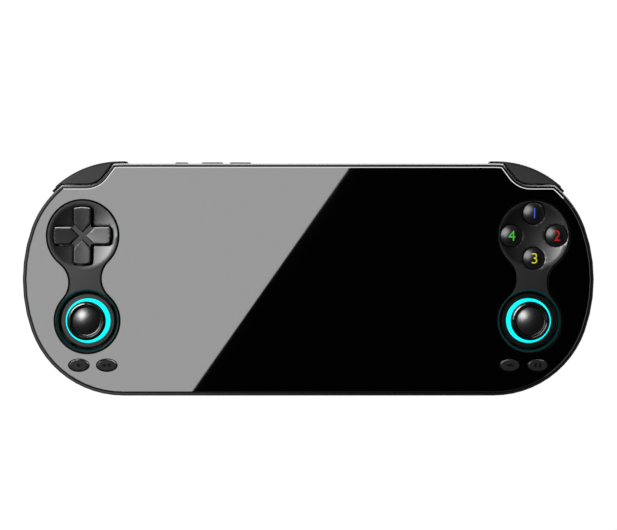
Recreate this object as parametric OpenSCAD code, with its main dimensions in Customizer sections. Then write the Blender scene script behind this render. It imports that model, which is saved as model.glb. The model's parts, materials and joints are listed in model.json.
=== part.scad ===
// Handheld game console, lying on its back: screen faces +Z, top edge faces +Y.
// Millimetres. The origin is on the table, under the middle of the whole object.

/* [Case] */
// Width of the case from end to end
body_w = 188; // [186:0.5:192]
// Height of the case from top edge to bottom edge
body_h = 76.4; // [75:0.1:79]
// Thickness of the case from the back to the glass
body_t = 14; // [13.8:0.1:14.6]
// Radius of the shallow arc at each end
end_r = 50.5; // [48:0.5:54]
// Radius of the four corner arcs
corner_r = 32; // [31:0.5:33]
// Radius of the rounded edge round the back
back_round = 5; // [4:0.5:5.5]
// Side wall of both shells
wall = 1.6; // [1.4:0.1:1.8]
// Floor of the rear shell
floor_t = 1.6; // [1.4:0.1:1.8]
// Plate of the front shell, under the glass
plate_t = 1.4; // [1.2:0.1:1.5]
// Height of the parting line between the shells
split_z = 8.6; // [8.4:0.1:8.8]
// Frame that shows round the glass
rim_w = 1; // [0.9:0.1:1.4]
// Chamfer on the outer edge of the frame
rim_chamfer = 0.4; // [0.3:0.05:0.5]
// How far the frame lies below the glass
rim_drop = 0.4; // [0.2:0.1:0.6]
// Height of the lip on the front shell that centres the rear shell
lip_h = 0.8; // [0.5:0.1:1]
// Thickness of that lip
lip_t = 0.8; // [0.6:0.1:1]
// Clearance between fixed pieces that nest
fit_gap = 0.1; // [0.05:0.05:0.15]

/* [Glass and screen] */
// Thickness of the front glass
glass_t = 1.1; // [0.9:0.1:1.2]
// Bevel round the front of the glass
glass_bevel = 0.45; // [0.3:0.05:0.6]
// Clearance between the glass and the frame or an insert
glass_gap = 0.15; // [0.1:0.05:0.2]
// Glass between the upper lobes and the screen panel
screen_land = 5.15; // [4.8:0.05:6.3]
// Distance of the screen panel from the top and bottom edges of the case
screen_edge = 5.2; // [4.8:0.1:6]
// Thickness of the screen panel
screen_t = 2.3; // [2:0.1:2.4]
// Sheet metal of the screen tray
tray_t = 0.5; // [0.4:0.1:0.6]

/* [Control bezels] */
// Distance of the upper lobes from the ends of the case
pad_edge = 19.85; // [19.4:0.05:20.4]
// Height of the upper lobes above the middle
pad_up = 14.4; // [14.2:0.1:15]
// Radius of the upper lobes
pad_lobe_r = 12; // [11.8:0.1:12.3]
// Distance of the stick axes from the ends of the case
stick_edge = 21.3; // [20.8:0.1:21.6]
// Depth of the stick axes below the middle
stick_down = 13.55; // [13.3:0.05:14]
// Radius of the stick lobes
stick_lobe_r = 10.9; // [10.8:0.1:11.2]
// Radius of the hollow curves at the neck between the lobes
neck_r = 7.8; // [7:0.1:9]
// How far the bezels lie below the glass
bezel_drop = 0.1; // [0:0.05:0.2]
// Ledge of the front shell that carries the bezels
bezel_ledge = 0.5; // [0.4:0.1:0.6]
// Chamfer round the edge of the bezels
bezel_chamfer = 0.5; // [0.2:0.05:0.5]
// Radius of the dish in the upper lobes
dish_r = 11.4; // [11:0.1:11.4]
// Depth of that dish
dish_depth = 1.2; // [0.8:0.1:1.3]
// Radius of the stick well
well_r = 9.7; // [9.5:0.1:9.8]
// Radius of the well where its bevel meets the face
well_top_r = 10.3; // [10.1:0.05:10.3]

/* [Cross key] */
// Span of the cross from tip to tip
cross_span = 18.8; // [18:0.1:19.4]
// Width of its arms
cross_arm = 5.6; // [5.2:0.1:5.8]
// Gap round the cross in its opening
cross_gap = 0.6; // [0.45:0.05:0.6]
// Height of the arm tips above the glass
cross_proud = 1.5; // [1.2:0.1:1.8]
// How far the hollow top sinks towards its middle
cross_hollow = 0.8; // [0.5:0.1:1]
// Chamfer along the top edges of the cross
cross_chamfer = 0.3; // [0.15:0.05:0.4]
// Radius of the pivot ball
ball_r = 1.4; // [1.2:0.1:1.5]

/* [Face keys] */
// Distance of each face key from the middle of the four
face_pitch = 7.42; // [7.2:0.02:7.6]
// Radius of a face key
face_r = 3.55; // [3.4:0.05:3.65]
// Gap round a face key
face_gap = 0.25; // [0.2:0.05:0.3]
// Height of the domes above the glass
face_proud = 1.3; // [1:0.1:1.6]
// Travel of a face key
face_travel = 1.2; // [0.8:0.1:1.3]

/* [Oval keys] */
// Distance of the outer oval keys from the ends of the case
oval_out = 18.6; // [18.2:0.1:18.8]
// Distance between the two oval keys of a side
oval_pitch = 9.2; // [9.1:0.1:9.6]
// Depth of the oval keys below the middle
oval_down = 28.15; // [27.8:0.05:28.3]
// Length of an oval key
oval_w = 6.7; // [6.4:0.1:6.9]
// Height of an oval key
oval_h = 3.95; // [3.7:0.05:4.1]
// Gap round an oval key
oval_gap = 0.25; // [0.2:0.05:0.3]
// Height of the oval keys above the glass
oval_proud = 0.3; // [0.2:0.1:0.6]
// Chamfer round the top of the oval keys
oval_chamfer = 0.35; // [0.2:0.05:0.45]

/* [Sticks] */
// Height of the stick pivot above the back
stick_pivot = 7.4; // [7.2:0.1:7.6]
// Outer size of the square stick base
stick_box = 15; // [14.6:0.1:15.4]
// Wall of the stick base
stick_wall = 1.1; // [0.9:0.1:1.2]
// Outer radius of the stick cap
cap_r = 6.3; // [6:0.1:6.5]
// Height of the cap underside above the glass
cap_lift = 0.9; // [0.8:0.1:1.2]
// Height of the cap's dome above its underside
cap_h = 2.1; // [1.9:0.1:2.4]
// Outer radius of the lit ring
light_r = 7.35; // [7.2:0.05:7.6]
// Inner radius of the lit ring
light_in_r = 4.6; // [4.4:0.1:4.8]
// Outer radius of the trim ring
trim_r = 8.95; // [8.8:0.05:9.05]
// How far the rings lie below the glass
ring_drop = 1.7; // [1.6:0.1:2]
// Radius of the dust dome under the rings
dome_r = 5.7; // [5.5:0.1:5.8]

/* [Shoulder keys] */
// Depth of the shoulder notch below the top edge
notch_depth = 7.1; // [6.8:0.05:7.3]
// Distance from the end of the case to the inner end of the notch flat
notch_edge = 20.9; // [20.5:0.1:21.3]
// Radius of the hollow curve in the notch
notch_r = 7.3; // [7:0.1:7.6]
// Slope of the notch where it meets the top edge
notch_slope = 53; // [50:1:56]
// How far the shoulder arc is moved out along X
shoulder_out_x = 1.2; // [1:0.1:1.4]
// How far the shoulder arc is moved out along Y
shoulder_out_y = 1.3; // [1.1:0.1:1.5]
// Gap between the shoulder keys and the case
key_gap = 0.55; // [0.5:0.05:0.65]
// Height of the joint between the front key and the trigger
key_split_z = 8.95; // [8.85:0.05:9.05]
// Radius of the shoulder pins
pin_r = 0.75; // [0.7:0.05:0.85]
// Running clearance of the key hubs on the pins
pin_play = 0.05; // [0.03:0.01:0.08]

/* [Top keys] */
// Length of the power key
power_w = 4.4; // [4:0.05:4.6]
// Length of a volume key
volume_w = 7.1; // [6.7:0.1:7.3]
// Height of the top keys
top_key_h = 2.2; // [2:0.1:2.4]
// How far the top keys stand out of the top edge
top_key_proud = 0.9; // [0.6:0.1:1]
// Travel of the top keys
top_key_travel = 0.4; // [0.3:0.05:0.4]

/* [Boards and sockets] */
// Gap under the boards
board_lift = 0.8; // [0.7:0.1:0.9]
// Thickness of the boards
board_t = 1.2; // [1:0.1:1.2]
// Width of the charging socket shell
usb_w = 8.94; // [8.8:0.02:9]
// Height of the charging socket shell
usb_h = 3.26; // [3.2:0.02:3.3]
// Radius of the headphone jack's bore
jack_r = 1.8; // [1.75:0.05:1.9]
// Width of the memory card slot
card_w = 11.4; // [11.2:0.1:11.8]
// Height of the memory card slot
card_h = 1.2; // [1:0.1:1.4]
// Width of the battery
battery_w = 66; // [58:1:72]
// Height of the battery
battery_h = 36; // [32:0.5:36.5]
// Thickness of the battery
battery_t = 4.8; // [4:0.1:5.2]
// Radius of the screw heads
screw_head_r = 1.9; // [1.8:0.05:2]
// Radius of the screw shanks
screw_r = 0.95; // [0.9:0.05:1]

/* [Hidden] */
$fn = 64;
// How far a cutter runs past the face that it opens
over = 1;
// How far a joined piece sinks into the piece that carries it
sink = 0.4;

// Heights of the stack, from the back to the front
board_z = floor_t + board_lift;
board_top = board_z + board_t;
seat_z = body_t - glass_t;
plate_z = seat_z - plate_t;
rim_z = body_t - rim_drop;
bezel_z = body_t - bezel_drop;
ring_z = body_t - ring_drop;

// Outline of the case: shallow end arcs that run into tighter corner arcs
half_w = body_w / 2;
half_h = body_h / 2;
end_x = half_w - end_r;
corner_y = half_h - corner_r;
corner_x = end_x + sqrt(pow(end_r - corner_r, 2) - pow(corner_y, 2));
join_a = atan2(corner_y, corner_x - end_x);

// Screen panel: fills the room between the upper lobes of the two sides
screen_w = 2 * (half_w - pad_edge - pad_lobe_r - screen_land);
screen_h = body_h - 2 * screen_edge;

// Shoulder notch and the arc of the keys that fill it
notch_x = half_w - notch_edge;
notch_y = half_h - notch_depth;
shoulder_c = [-corner_x - shoulder_out_x, corner_y + shoulder_out_y];
shoulder_inset = 0.2;
shoulder_r = corner_r - shoulder_inset;
shoulder_proud = shoulder_c[1] + shoulder_r - half_h;
// The case lies this far below the middle, because the shoulder keys stand out above it
case_shift = -shoulder_proud / 2;

// Steps along the arcs of the moulded outlines
end_steps = 6;
corner_steps = 12;
notch_steps = 8;
back_steps = 6;

function turn(c, r, a) = c + r * [cos(a), sin(a)];
function arc(c, r, a0, a1, n) = [for (i = [0:n]) turn(c, r, a0 + (a1 - a0) * i / n)];
function first_points(p) = [for (i = [0:len(p) - 2]) p[i]];
function inner_points(p) = [for (i = [1:len(p) - 2]) p[i]];
function mirrored(p) = [for (i = [len(p) - 1:-1:0]) [-p[i][0], p[i][1]]];

function end_arc(inset) = arc([end_x, 0], end_r - inset, -join_a, join_a, end_steps);
function corner_arc(inset) = arc([corner_x, corner_y], corner_r - inset, join_a, 90, corner_steps);
// Plain outline without notches, moved in by inset
function outline_path(inset) =
  let (top = corner_arc(inset))
  let (bottom = [for (p = top) [-p[0], -p[1]]])
  concat(
    first_points(end_arc(inset)), top, first_points(mirrored(top)),
    first_points([for (p = end_arc(inset)) [-p[0], -p[1]]]), bottom, first_points(mirrored(bottom)));

// Notch side of the outline: hollow curve, then the slope up to a height
function notch_arc(inset) =
  arc([notch_x, notch_y + notch_r], notch_r + inset, 270, 270 - notch_slope, notch_steps);
function slope_at(inset, y) =
  let (e = notch_arc(inset)[notch_steps])
  [e[0] - (y - e[1]) / tan(notch_slope), y];
function notch_meets(inset) = asin((notch_y - inset - corner_y) / (corner_r - inset));
function slope_meets(inset) =
  let (along = [-cos(notch_slope), sin(notch_slope)])
  let (from = notch_arc(inset)[notch_steps] - [corner_x, corner_y])
  let (half_b = from * along)
  let (hit = from + (sqrt(pow(half_b, 2) - from * from + pow(corner_r - inset, 2)) - half_b) * along)
  atan2(hit[1], hit[0]);
function upper_side(inset) = concat(
  arc([corner_x, corner_y], corner_r - inset, join_a, notch_meets(inset), corner_steps),
  notch_arc(inset), arc([corner_x, corner_y], corner_r - inset, slope_meets(inset), 90, 2));

// Outline with both notches, moved in by inset
function case_path(inset) =
  let (bottom = [for (p = corner_arc(inset)) [-p[0], -p[1]]])
  concat(
    first_points(end_arc(inset)), upper_side(inset), mirrored(upper_side(inset)),
    inner_points([for (p = end_arc(inset)) [-p[0], -p[1]]]), bottom, first_points(mirrored(bottom)));

function ellipse_path(w, h) = [for (i = [0:47]) [w / 2 * cos(i * 7.5), h / 2 * sin(i * 7.5)]];

// Solid through outlines of equal point counts, each at its own height
module loft(paths, heights) {
  n = len(paths[0]);
  top = n * (len(heights) - 1);
  sides = [for (k = [0:len(heights) - 2]) for (i = [0:n - 1])
    [k * n + i, (k + 1) * n + i, (k + 1) * n + (i + 1) % n, k * n + (i + 1) % n]];
  polyhedron(
    [for (k = [0:len(heights) - 1]) for (p = paths[k]) [p[0], p[1], heights[k]]],
    concat([[for (i = [0:n - 1]) i]], sides, [[for (i = [n - 1:-1:0]) top + i]]));
}

module slab(z0, z1) {
  translate([0, 0, z0]) linear_extrude(z1 - z0) children();
}

module rod(c, r, z0, z1) {
  translate([c[0], c[1], z0]) cylinder(h = z1 - z0, r = r);
}

// Box given by its lowest and highest corners
module block(low, high) {
  translate(low) cube(high - low);
}

module round_rect(w, h, r) {
  square([w - 2 * r, h], center = true);
  square([w, h - 2 * r], center = true);
  for (x = [-1, 1], y = [-1, 1]) translate([x * (w / 2 - r), y * (h / 2 - r)]) circle(r);
}

module stadium(w, h) {
  square([w - h, h], center = true);
  for (x = [-1, 1]) translate([x * (w - h) / 2, 0]) circle(h / 2);
}

module other_side() {
  mirror([1, 0, 0]) children();
}

module both_sides() {
  children();
  other_side() children();
}

module place() {
  translate([0, case_shift, 0]) children();
}

// Positions on the left half of the case
pad_c = [-(half_w - pad_edge), pad_up];
stick_c = [-(half_w - stick_edge), -stick_down];
oval_cs = [[-(half_w - oval_out), -oval_down], [-(half_w - oval_out - oval_pitch), -oval_down]];

// Case screws: bosses hang from the front shell, wells rise from the rear shell
boss_r = 2.2;
well_wall = 0.8;
head_gap = 0.2;
thread_gap = 0.05;
tap_room = 0.4;
screw_head_h = 1.3;
screw_well_r = screw_head_r + head_gap;
screw_tower_r = screw_well_r + well_wall;
screw_seat_z = floor_t + 1;
tower_z = screw_seat_z + 2.2;
screw_end_z = plate_z - 1.6;
screw_cs = [
  [-(screen_w / 2 + boss_r + 2.8), -(half_h - wall - boss_r - 1.6)],
  [-(half_w - 8.5), 0.3],
  [-(screen_w / 2 + boss_r + 1.4), half_h - 11.5]
];

// Hourglass of a control bezel: two lobes joined by a neck with hollow sides
neck_d = norm(stick_c - pad_c);
neck_dir = (stick_c - pad_c) / neck_d;
neck_side = [neck_dir[1], -neck_dir[0]];
neck_reach = pad_lobe_r + neck_r;
neck_along = (pow(neck_reach, 2) - pow(stick_lobe_r + neck_r, 2) + pow(neck_d, 2)) / (2 * neck_d);
neck_off = sqrt(pow(neck_reach, 2) - pow(neck_along, 2));
neck_cs = [for (s = [-1, 1]) pad_c + neck_along * neck_dir + s * neck_off * neck_side];
lobe_steps = 44;
neck_steps = 10;

function way(from, to) = atan2(to[1] - from[1], to[0] - from[0]);
// The turn from one angle to another, counted anticlockwise
function swing(a0, a1) = (a1 - a0 + 720) % 360;
// Arc about c from the side of one point to the side of another, without its last point
function arc_between(c, r, from, to, n) =
  first_points(arc(c, r, way(c, from), way(c, from) + swing(way(c, from), way(c, to)), n));
function hollow_between(c, r, from, to, n) =
  first_points(arc(c, r, way(c, from), way(c, from) - swing(way(c, to), way(c, from)), n));
function hourglass_path(grow) = concat(
  arc_between(pad_c, pad_lobe_r + grow, neck_cs[0], neck_cs[1], lobe_steps),
  hollow_between(neck_cs[1], neck_r - grow, pad_c, stick_c, neck_steps),
  arc_between(stick_c, stick_lobe_r + grow, neck_cs[1], neck_cs[0], lobe_steps),
  hollow_between(neck_cs[0], neck_r - grow, stick_c, pad_c, neck_steps));

module hourglass(grow) {
  polygon(hourglass_path(grow));
}

// Shoulder pivot: inside the wall, square to the end of the notch's hollow curve
hub_r = 1.9;
hub_gap = 0.7;
ear_w = 2.6;
ear_gap = 0.45;
ear_past = 2;
ear_a = 90 + notch_slope;
notch_end = [-notch_arc(0)[notch_steps][0], notch_arc(0)[notch_steps][1]];
pivot_in = wall + hub_r + hub_gap;
pivot_c = notch_end - pivot_in * [cos(ear_a), sin(ear_a)];
ear_reach = pivot_in + ear_past;
pin_hold = 0.03;
pin_end_gap = 0.05;
key_step = 0.15;
front_key_z0 = key_split_z + key_step;
front_key_drop = 0.3;
front_key_z1 = rim_z - front_key_drop;
trigger_z0 = 0.6;
trigger_z1 = key_split_z - key_step;
ear_end_gap = 0.3;
front_ear = [front_key_z0, plate_z - ear_end_gap];
trigger_ear_h = 2;
trigger_ear = [trigger_z1 - trigger_ear_h, trigger_z1];
boss_gap = 0.2;
pin_boss_z = trigger_ear[0] - boss_gap;
pin_foot = 2.5;
pin_z0 = pin_boss_z - pin_foot;
pin_z1 = plate_z + plate_t / 2;
// Angles of the shoulder arc that the front key and the trigger span
front_key_span = [88.3, 132.6];
trigger_span = [86.9, 136.5];

// Plungers of the shoulder keys reach through the notch wall to their switches
plunger_out = 4;
plunger_x = -(notch_x + plunger_out);
plunger_w = 1.6;
plunger_h = 1.2;
plunger_gap = 0.45;
plunger_past = 0.1;
plunger_end = notch_y - wall - plunger_past;
front_plunger_z = (front_ear[0] + front_ear[1]) / 2;
trigger_plunger_drop = 2.4;
trigger_plunger_z = split_z - trigger_plunger_drop;
switch_press_gap = 0.4;
switch_nub = 0.2;
switch_h = 0.85;
shoulder_board_t = 0.8;
shoulder_board_y = plunger_end - switch_press_gap - switch_nub - switch_h;
switch_w = 2.2;
shoulder_board_low = 0.6;
shoulder_board_z = [back_round - shoulder_board_low, plate_z - ear_end_gap];
// Outer end of the board: the inside of the corner at the board's height, less a gap
shoulder_board_gap = 0.25;
shoulder_board_end = corner_x - shoulder_board_gap
  + sqrt(pow(corner_r - wall - fit_gap - lip_t, 2) - pow(shoulder_board_y - corner_y, 2));
shoulder_board_in = 2.7;
shoulder_board_x = [-shoulder_board_end, -(notch_x - shoulder_board_in)];
shoulder_post_out = 1.7;
shoulder_post_in = 1.9;
shoulder_post_xs = [-(notch_x + shoulder_post_out), -(notch_x - shoulder_post_in)];
shoulder_post_w = 1.6;
shoulder_post_d = 1.2;
shoulder_post_z = shoulder_board_z[0] + 1.6;

// Top keys along the top edge
top_key_z = board_top + 1.8;
top_key_xs = [-42.4, -32.15, -22.8];
top_key_ws = [power_w, volume_w, volume_w];
top_key_gap = 0.2;
top_flange = 0.8;
top_flange_t = 1.1;
top_flange_y = half_h - wall - 0.3;
top_press_gap = 0.05;
top_switch_y = top_flange_y - top_flange_t - top_key_travel - top_press_gap;
top_nub = 0.4;

// Sockets along the bottom edge
usb_x = 0;
jack_x = 15;
card_x = -18;
socket_y = -(half_h - 0.4);
usb_z = board_top + usb_h / 2;
jack_z = board_top + 1.6;
jack_barrel_r = 2.5;
jack_body_w = 6;
jack_body_h = 5;
jack_body_l = 12.6;
jack_body_y = -(half_h - wall - 1.5);
card_z = board_top + 0.8;
socket_gap = 0.2;

// Boards
board_edge = 3.9;
board_gap = 0.3;
board_side = 1.5;
board_step = 5;
button_board_x = -(screen_w / 2 + board_side);
button_board_y = shoulder_board_y - shoulder_board_t - board_side;
main_board_x = screen_w / 2 - board_step;
main_board_y = [-(half_h - board_edge), -11];
pad_r = 1.5;
top_board_l = 5.1;
top_board_side = 5.4;
top_board_y = [half_h - board_edge - top_board_l, half_h - board_edge];
top_board_x = [top_key_xs[0] - top_board_side, top_key_xs[2] + top_board_side];

// Shield can: between the end of the main board and the memory card socket
can_end = 3;
can_side = 3.3;
can_x = [-(main_board_x - can_end), card_x - card_w / 2 - can_side];
can_y = -20;

// Battery bay and speakers
battery_c = [0, 9.4];
rib_t = 1;
rib_h = 2;
rib_w = 10;
rib_l = 6;
speaker_w = 13;
speaker_l = 20;
speaker_t = 4;
speaker_gap = 1;
speaker_c = [button_board_x + speaker_gap + speaker_w / 2, 12];
grille_slots = 5;
grille_pitch = 2.6;
grille_w = 1.2;
grille_l = 9;

// Rubber sheets under the keys
rubber_t = 0.8;
rubber_dome = face_travel + 0.7;
rubber_edge = 3;
rubber_top = board_top + rubber_t + rubber_dome;
key_rest = 0.1;

// Cross key
cross_flange_r = 7.5;
cross_rock = 1.3;
cross_flange_z = plate_z - cross_rock;
cross_flange_t = 1;
cross_pad_r = 6;
cross_corner = 0.8;
cross_tilt_z = cross_flange_z - ball_r;
ball_gap = 0.05;
post_top = cross_tilt_z - 0.8;
post_r = 1.8;

// Oval keys
oval_flange = 0.75;
key_lift_gap = 0.3;
oval_flange_z = plate_z - key_lift_gap;
key_flange_t = 1;

// Stick module
light_t = 1.1;
trim_foot = 0.8;
base_top = ring_z - light_t - trim_foot;
base_floor = 0.8;
spring_wire = 0.2;
spring_turns = 2;
cap_z = body_t + cap_lift;
shaft_r = 1.75;
shaft_in = 0.7;
cap_grip = 0.05;
yoke_r = 4.3;
yoke_in_r = 2.9;
yoke_h = 2.4;
yoke_pin_r = 0.8;
stem_pin_r = 0.7;
stem_block_r = 1.8;
gimbal_play = 0.05;

// Window in both shells that lets the ears of the shoulder keys through
module ear_window() {
  slab(pin_boss_z, plate_z)
    translate(pivot_c) rotate(ear_a) translate([hub_r - 0.4, -ear_w / 2 - ear_gap])
      square([ear_reach - hub_r + over, ear_w + 2 * ear_gap]);
}

module plunger_hole(z) {
  block(
    [plunger_x - plunger_w / 2 - plunger_gap, notch_y - wall - lip_t - over, z - plunger_h / 2 - plunger_gap],
    [plunger_x + plunger_w / 2 + plunger_gap, notch_y + over, z + plunger_h / 2 + plunger_gap]);
}

// Plan of the cross key: four arms with bowed tips and rounded corners
function arm_path(grow) =
  let (r = cross_span / 2 + grow, h = cross_arm / 2 + grow, c = cross_corner + grow)
  let (x = sqrt(pow(r - c, 2) - pow(h - c, 2)), t = atan2(h - c, x))
  concat(
    [[h, -h]], arc([x, c - h], c, -90, -t, 4), inner_points(arc([0, 0], r, -t, t, 4)),
    arc([x, h - c], c, t, 90, 4));

module cross_plan(grow) {
  polygon([for (a = [0:90:270]) for (p = arm_path(grow))
    [p[0] * cos(a) - p[1] * sin(a), p[0] * sin(a) + p[1] * cos(a)]]);
}

module screen_window(grow, z0, z1) {
  slab(z0, z1) square([screen_w + 2 * grow, screen_h + 2 * grow], center = true);
}

// Front shell: frame, plate with its openings, centring lip and screw bosses
module front_shell() {
  color("#2a2a2c") difference() {
    union() {
      difference() {
        loft([case_path(0), case_path(0), case_path(rim_chamfer)], [split_z, rim_z - rim_chamfer, rim_z]);
        slab(split_z - over, plate_z) polygon(case_path(wall + fit_gap + lip_t));
        slab(split_z + sink, plate_z) polygon(case_path(wall));
        slab(seat_z, rim_z + over) polygon(case_path(rim_w - glass_gap));
      }
      slab(split_z - lip_h, split_z + sink) difference() {
        polygon(case_path(wall + fit_gap));
        polygon(case_path(wall + fit_gap + lip_t));
      }
      both_sides() for (c = screw_cs) rod(c, boss_r, tower_z, plate_z + sink);
    }
    screen_window(screen_gap, plate_z - over, seat_z + over);
    both_sides() {
      slab(plate_z - over, seat_z + over) hourglass(-bezel_ledge);
      for (c = oval_cs) slab(plate_z - over, seat_z + over)
        translate(c) polygon(ellipse_path(oval_w + 2 * oval_gap, oval_h + 2 * oval_gap));
      for (c = screw_cs) rod(c, screw_r + thread_gap, tower_z - over, screw_end_z + tap_room);
      ear_window();
      plunger_hole(front_plunger_z);
      rod(pivot_c, pin_r + pin_hold, plate_z - over, pin_z1 + pin_end_gap);
    }
  }
}

function back_levels(edge, low) = [for (k = [0:back_steps]) let (a = 90 * k / back_steps)
  [edge + back_round * (1 - sin(a)), low + (back_round - low) * (1 - cos(a))]];

// Solid with the rounded back edge, moved in by edge and up to low
module back_form(edge, low, top) {
  levels = back_levels(edge, low);
  loft(
    concat([for (l = levels) outline_path(l[0])], [outline_path(edge)]),
    concat([for (l = levels) l[1]], [top]));
}

// Room of one shoulder notch, widened by grow
module notch_room(grow, z0, z1) {
  past = 10;
  far = half_w + past;
  high = half_h + past;
  slab(z0, z1) other_side()
    polygon(concat([[far, notch_y - grow]], notch_arc(grow), [slope_at(grow, high), [far, high]]));
}

module socket_holes() {
  translate([usb_x, 0, usb_z]) rotate([90, 0, 0]) linear_extrude(half_h + over)
    stadium(usb_w + 2 * socket_gap, usb_h + 2 * socket_gap);
  translate([jack_x, 0, jack_z]) rotate([90, 0, 0])
    cylinder(h = half_h + over, r = jack_barrel_r + socket_gap);
  translate([card_x, 0, card_z]) rotate([90, 0, 0]) linear_extrude(half_h + over)
    square([card_w + 2 * socket_gap, card_h + 2 * socket_gap], center = true);
}

module top_key_holes() {
  for (i = [0:2]) translate([top_key_xs[i], half_h - wall - 2, top_key_z]) rotate([-90, 0, 0])
    linear_extrude(wall + 2 + over) stadium(top_key_ws[i] + 2 * top_key_gap, top_key_h + 2 * top_key_gap);
}

module speaker_slots() {
  for (i = [0:grille_slots - 1])
    slab(-over, floor_t + over)
      translate(speaker_c + [0, (i - (grille_slots - 1) / 2) * grille_pitch]) stadium(grille_l, grille_w);
}

module battery_ribs() {
  w = battery_w + 2 * fit_gap;
  h = battery_h + 2 * fit_gap;
  slab(floor_t - sink, floor_t + rib_h) translate(battery_c) difference() {
    square([w + 2 * rib_t, h + 2 * rib_t], center = true);
    square([w, h], center = true);
    square([w - 2 * rib_w, h + 4 * rib_t], center = true);
    square([w + 4 * rib_t, h - 2 * rib_l], center = true);
  }
}

// Pads that carry the button board of one side
pad_spots = [
  pad_c + [-9.5, -5], pad_c + [9.5, -5], stick_c + [-10.5, 0], stick_c + [10, 3], stick_c + [0, -12]];
main_spots = [for (x = [-1, 0, 1], y = [main_board_y[0] + 7, main_board_y[1] - 3])
  [x * (main_board_x - 4), y]];
top_spots = [for (x = [top_board_x[0] + 3, top_board_x[1] - 3]) [x, top_board_y[0] + 2]];

// Rear shell: rounded tray with screw towers, posts, pads, ribs and openings
module rear_shell() {
  color("#242426") difference() {
    union() {
      difference() {
        back_form(0, 0, split_z);
        both_sides() notch_room(0, -over, split_z + over);
        difference() {
          back_form(wall, floor_t, split_z + over);
          both_sides() notch_room(wall, 0, split_z + 2 * over);
        }
      }
      both_sides() {
        for (c = screw_cs) rod(c, screw_tower_r, floor_t - sink, tower_z);
        for (c = pad_spots) rod(c, pad_r, floor_t - sink, board_z);
        rod(pivot_c, hub_r, floor_t - sink, pin_boss_z);
        for (x = shoulder_post_xs) block(
          [x - shoulder_post_w / 2, shoulder_board_y - shoulder_board_t - shoulder_post_d, floor_t - sink],
          [x + shoulder_post_w / 2, shoulder_board_y + shoulder_post_d, shoulder_post_z]);
      }
      rod(pad_c, post_r, floor_t - sink, post_top);
      for (c = main_spots) rod(c, pad_r, floor_t - sink, board_z);
      for (c = top_spots) rod(c, pad_r, floor_t - sink, board_z);
      battery_ribs();
    }
    both_sides() {
      for (c = screw_cs) {
        rod(c, screw_well_r, -over, screw_seat_z);
        rod(c, screw_r + fit_gap, 0, tower_z + over);
      }
      ear_window();
      plunger_hole(trigger_plunger_z);
      rod(pivot_c, pin_r + pin_hold, pin_z0 - pin_end_gap, pin_boss_z + over);
      for (x = shoulder_post_xs) block(
        [x - shoulder_post_w, shoulder_board_y - shoulder_board_t - fit_gap / 2, shoulder_board_z[0]],
        [x + shoulder_post_w, shoulder_board_y + fit_gap / 2, shoulder_post_z + over]);
      speaker_slots();
    }
    translate([pad_c[0], pad_c[1], cross_tilt_z]) sphere(ball_r + ball_gap);
    socket_holes();
    top_key_holes();
  }
}

// Front glass: bevelled plate with openings for the bezels and the oval keys
module front_glass() {
  color("#050505") difference() {
    loft(
      [case_path(rim_w), case_path(rim_w), case_path(rim_w + glass_bevel)],
      [seat_z, body_t - glass_bevel, body_t]);
    both_sides() {
      slab(seat_z - over, body_t + over) hourglass(glass_gap);
      for (c = oval_cs) slab(seat_z - over, body_t + over)
        translate(c) polygon(ellipse_path(oval_w + 2 * oval_gap, oval_h + 2 * oval_gap));
    }
  }
}

// Blank of a control bezel: stepped hourglass with a dished lobe and a bevelled stick well
module bezel_blank() {
  dish_sphere = (pow(dish_r, 2) + pow(dish_depth, 2)) / (2 * dish_depth);
  low = plate_z - 0.2;
  bevel_foot = seat_z + 0.1;
  difference() {
    union() {
      loft(
        [for (c = [0, 0, bezel_chamfer]) hourglass_path(-c)], [seat_z, bezel_z - bezel_chamfer, bezel_z]);
      slab(low, seat_z) hourglass(-bezel_ledge - fit_gap);
    }
    translate([pad_c[0], pad_c[1], bezel_z - dish_depth + dish_sphere]) sphere(dish_sphere, $fn = 200);
    rod(stick_c, well_r, low - over, bezel_z + over);
    translate([stick_c[0], stick_c[1], bevel_foot])
      cylinder(h = bezel_z - bevel_foot, r1 = well_r, r2 = well_top_r);
  }
}

module left_control_bezel() {
  color("#3a3a3c") difference() {
    bezel_blank();
    slab(plate_z - over, bezel_z + over) translate(pad_c) cross_plan(cross_gap);
  }
}

function face_c(a) = [-pad_c[0], pad_c[1]] + face_pitch * [cos(a), sin(a)];

module right_control_bezel() {
  color("#3a3a3c") difference() {
    other_side() bezel_blank();
    for (a = [0:90:270]) rod(face_c(a), face_r + face_gap, plate_z - over, bezel_z + over);
  }
}

module case_screws() {
  drive_l = 2.2;
  drive_w = 0.5;
  drive_d = 0.6;
  head_z = screw_seat_z - screw_head_h;
  color("#55565a") both_sides() for (c = screw_cs) difference() {
    union() {
      rod(c, screw_head_r, head_z, screw_seat_z);
      rod(c, screw_r, screw_seat_z - sink, screw_end_z);
    }
    for (a = [0, 90]) translate([c[0], c[1], head_z]) rotate(a)
      cube([drive_l, drive_w, 2 * drive_d], center = true);
  }
}

// Screen: panel under the glass, in a folded sheet tray that hangs from the front plate
screen_z = seat_z - screen_t;
screen_gap = 0.3;
tray_gap = 0.2;
tray_low = screen_z - tray_t;
lead_side = 7;
lead_end = 8;
lead_x = [jack_x + lead_side, main_board_x - lead_end];

module screen_panel() {
  color("#101114") slab(screen_z, seat_z) round_rect(screen_w, screen_h, 1);
}

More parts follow.
